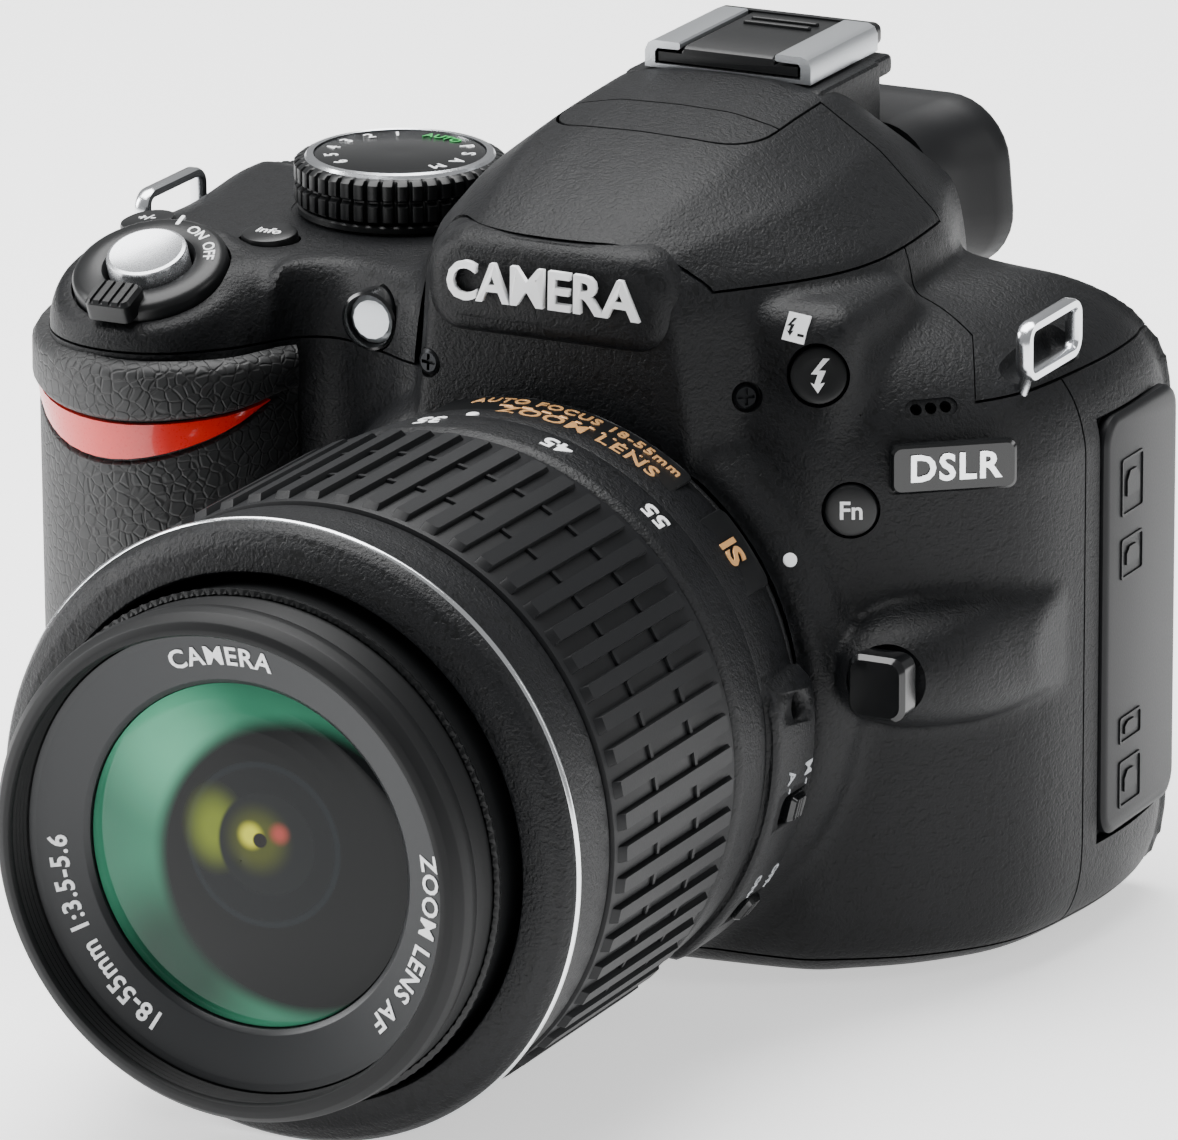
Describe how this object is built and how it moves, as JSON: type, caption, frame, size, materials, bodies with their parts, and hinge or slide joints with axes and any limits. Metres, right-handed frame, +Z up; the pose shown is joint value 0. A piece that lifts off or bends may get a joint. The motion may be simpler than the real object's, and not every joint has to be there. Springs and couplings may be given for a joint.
{
  "type": "digital single-lens reflex camera with zoom lens",
  "caption": "Compact single-lens reflex camera: rubber hand grip, pop-up flash hump, accessory shoe, mode dial, rear monitor and a ribbed zoom lens.",
  "frame": {"origin": "centre of the bounding box's footprint, on the plane the base stands on", "axes": "+Z up, -Y the way the lens points, +X to the right of someone who faces the lens"},
  "size_m": [0.1244, 0.15, 0.0974],
  "materials": {
    "body_plastic": "black textured polycarbonate",
    "smooth_plastic": "smooth satin black plastic",
    "grip_rubber": "pebbled black rubber",
    "silver_metal": "brushed bright steel",
    "dark_metal": "dark anodised metal",
    "coated_glass": "coated optical glass",
    "red_plastic": "glossy red plastic",
    "circuit_board": "green circuit board"
  },
  "bodies": {
    "camera_body": {"front_cover": "body_plastic", "rear_cover": "body_plastic", "bottom_cover": "body_plastic", "top_cover": "body_plastic", "grip_rubber": "grip_rubber", "grip_accent": "red_plastic", "thumb_rubber": "grip_rubber", "model_badge": "smooth_plastic", "af_lamp": "coated_glass", "monitor_window": "coated_glass", "eyepiece_lens": "coated_glass", "eyecup": "grip_rubber", "shoe_rails": "silver_metal", "strap_lug_right": "silver_metal", "strap_lug_left": "silver_metal", "battery": "smooth_plastic", "memory_card": "smooth_plastic", "image_sensor": "coated_glass", "main_board": "circuit_board", "shutter_frame": "dark_metal", "mirror_box": "smooth_plastic", "pentamirror": "coated_glass", "tripod_socket": "silver_metal", "body_mount_ring": "silver_metal"},
    "lens_body": {"lens_mount": "silver_metal", "lens_barrel": "body_plastic"},
    "zoom_body": {"zoom_ring": "smooth_plastic", "zoom_rubber": "grip_rubber"},
    "focus_body": {"focus_ring": "smooth_plastic", "front_bezel": "smooth_plastic", "front_glass": "coated_glass"},
    "flash_head": {"flash_head": "body_plastic"},
    "shoe_cover": {"shoe_cover": "smooth_plastic"},
    "flash_button": {"flash_button": "smooth_plastic"},
    "function_button": {"function_button": "smooth_plastic"},
    "exposure_button": {"exposure_button": "smooth_plastic"},
    "info_button": {"info_button": "smooth_plastic"},
    "playback_button": {"playback_button": "smooth_plastic"},
    "menu_button": {"menu_button": "smooth_plastic"},
    "zoom_out_button": {"zoom_out_button": "smooth_plastic"},
    "zoom_in_button": {"zoom_in_button": "smooth_plastic"},
    "delete_button": {"delete_button": "smooth_plastic"},
    "lock_button": {"lock_button": "smooth_plastic"},
    "lens_release_button": {"lens_release_button": "smooth_plastic"},
    "movie_button": {"movie_button": "smooth_plastic"},
    "ok_button": {"ok_button": "smooth_plastic"},
    "shutter_button": {"shutter_button": "silver_metal"},
    "power_switch": {"power_switch": "smooth_plastic"},
    "mode_dial": {"mode_dial": "smooth_plastic"},
    "release_lever": {"release_lever": "smooth_plastic"},
    "command_dial": {"command_dial": "smooth_plastic"},
    "multi_selector": {"multi_selector": "smooth_plastic"},
    "live_view_lever": {"live_view_lever": "smooth_plastic"},
    "terminal_door": {"terminal_door": "grip_rubber"},
    "card_door": {"card_door": "body_plastic"},
    "battery_door": {"battery_door": "body_plastic"},
    "reflex_mirror": {"reflex_mirror": "coated_glass"},
    "focus_mode_switch": {"focus_mode_switch": "smooth_plastic"},
    "stabiliser_switch": {"stabiliser_switch": "smooth_plastic"},
    "inner_barrel": {"inner_barrel": "smooth_plastic"}
  },
  "joints": [
    {"name": "flash_raise", "type": "hinge", "parent": "camera_body", "child": "flash_head", "pos_m": [0.01, 0.045, 0.0918], "axis": [-1, 0, 0], "range_deg": [0, 60]},
    {"name": "shoe_cover_slide", "type": "slide", "parent": "camera_body", "child": "shoe_cover", "axis": [0, 1, 0], "range_m": [0, 0.018]},
    {"name": "flash_press", "type": "slide", "parent": "camera_body", "child": "flash_button", "axis": [-0.2994, 0.9182, -0.2595], "range_m": [0, 0.0007], "stiffness_N_per_m": 300},
    {"name": "function_press", "type": "slide", "parent": "camera_body", "child": "function_button", "axis": [-0.4472, 0.8944, 0], "range_m": [0, 0.0007], "stiffness_N_per_m": 300},
    {"name": "exposure_press", "type": "slide", "parent": "camera_body", "child": "exposure_button", "axis": [0.1186, 0.0988, -0.988], "range_m": [0, 0.0007], "stiffness_N_per_m": 300},
    {"name": "info_press", "type": "slide", "parent": "camera_body", "child": "info_button", "axis": [0, 0.0995, -0.995], "range_m": [0, 0.0007], "stiffness_N_per_m": 300},
    {"name": "playback_press", "type": "slide", "parent": "camera_body", "child": "playback_button", "axis": [0, -1, 0], "range_m": [0, 0.0005], "stiffness_N_per_m": 300},
    {"name": "menu_press", "type": "slide", "parent": "camera_body", "child": "menu_button", "axis": [0, -1, 0], "range_m": [0, 0.0005], "stiffness_N_per_m": 300},
    {"name": "zoom_out_press", "type": "slide", "parent": "camera_body", "child": "zoom_out_button", "axis": [0, -1, 0], "range_m": [0, 0.0005], "stiffness_N_per_m": 300},
    {"name": "zoom_in_press", "type": "slide", "parent": "camera_body", "child": "zoom_in_button", "axis": [0, -1, 0], "range_m": [0, 0.0005], "stiffness_N_per_m": 300},
    {"name": "delete_press", "type": "slide", "parent": "camera_body", "child": "delete_button", "axis": [0, -1, 0], "range_m": [0, 0.0005], "stiffness_N_per_m": 300},
    {"name": "lock_press", "type": "slide", "parent": "camera_body", "child": "lock_button", "axis": [0, -1, 0], "range_m": [0, 0.0005], "stiffness_N_per_m": 300},
    {"name": "movie_press", "type": "slide", "parent": "camera_body", "child": "movie_button", "axis": [0, -1, 0], "range_m": [0, 0.0005], "stiffness_N_per_m": 300},
    {"name": "ok_press", "type": "slide", "parent": "camera_body", "child": "ok_button", "axis": [0, -1, 0], "range_m": [0, 0.0005], "stiffness_N_per_m": 300},
    {"name": "lens_release_press", "type": "slide", "parent": "camera_body", "child": "lens_release_button", "axis": [0, 1, 0], "range_m": [0, 0.0012], "stiffness_N_per_m": 300},
    {"name": "shutter_press", "type": "slide", "parent": "camera_body", "child": "shutter_button", "axis": [0, 0.361, -0.9326], "range_m": [0, 0.0015], "stiffness_N_per_m": 400},
    {"name": "power_turn", "type": "hinge", "parent": "camera_body", "child": "power_switch", "pos_m": [-0.044, 0.0076, 0.0742], "axis": [0, -0.361, 0.9326], "range_deg": [-17, 17]},
    {"name": "mode_dial_turn", "type": "hinge", "parent": "camera_body", "child": "mode_dial", "pos_m": [-0.028, 0.0385, 0.08], "axis": [0, 0, 1], "continuous": true},
    {"name": "release_lever_turn", "type": "hinge", "parent": "camera_body", "child": "release_lever", "pos_m": [-0.028, 0.0385, 0.077], "axis": [0, 0, 1], "range_deg": [-10, 30]},
    {"name": "command_dial_turn", "type": "hinge", "parent": "camera_body", "child": "command_dial", "pos_m": [-0.05, 0.054, 0.0716], "axis": [0, 0, 1], "continuous": true},
    {"name": "selector_rock", "type": "hinge", "parent": "camera_body", "child": "multi_selector", "pos_m": [-0.038, 0.0601, 0.036], "axis": [1, 0, 0], "range_deg": [-2.5, 2.5], "stiffness_Nm_per_rad": 0.02},
    {"name": "live_view_turn", "type": "hinge", "parent": "camera_body", "child": "live_view_lever", "pos_m": [-0.0405, 0.0602, 0.0556], "axis": [0, 1, 0], "range_deg": [0, 25], "stiffness_Nm_per_rad": 0.01},
    {"name": "terminal_door_swing", "type": "hinge", "parent": "camera_body", "child": "terminal_door", "pos_m": [0.0616, 0.0573, 0.037], "axis": [0, 0, 1], "range_deg": [0, 100]},
    {"name": "card_door_swing", "type": "hinge", "parent": "camera_body", "child": "card_door", "pos_m": [-0.0616, 0.0383, 0.036], "axis": [0, 0, 1], "range_deg": [0, 100]},
    {"name": "battery_door_swing", "type": "hinge", "parent": "camera_body", "child": "battery_door", "pos_m": [-0.0416, 0.029, 0.001], "axis": [0, -1, 0], "range_deg": [0, 90]},
    {"name": "mirror_flip", "type": "hinge", "parent": "camera_body", "child": "reflex_mirror", "pos_m": [0.01, 0.0415, 0.052], "axis": [-1, 0, 0], "range_deg": [0, 45]},
    {"name": "lens_twist", "type": "hinge", "parent": "camera_body", "child": "lens_body", "pos_m": [0.01, 0.0015, 0.0352], "axis": [0, -1, 0], "range_deg": [0, 57]},
    {"name": "focus_mode_slide", "type": "slide", "parent": "lens_body", "child": "focus_mode_switch", "axis": [0, 1, 0], "range_m": [-0.0015, 0.0015]},
    {"name": "stabiliser_slide", "type": "slide", "parent": "lens_body", "child": "stabiliser_switch", "axis": [0, 1, 0], "range_m": [-0.0015, 0.0015]},
    {"name": "zoom_turn", "type": "hinge", "parent": "lens_body", "child": "zoom_body", "pos_m": [0.01, -0.035, 0.0352], "axis": [0, -1, 0], "range_deg": [0, 48]},
    {"name": "barrel_extend", "type": "slide", "parent": "lens_body", "child": "inner_barrel", "axis": [0, -1, 0], "range_m": [0, 0.0076]},
    {"name": "focus_turn", "type": "hinge", "parent": "inner_barrel", "child": "focus_body", "pos_m": [0.01, -0.064, 0.0352], "axis": [0, -1, 0], "range_deg": [0, 90]}
  ],
  "couplings": [
    {"joint": "barrel_extend", "follows": "zoom_turn", "m_per_rad": 0.0089525}
  ]
}
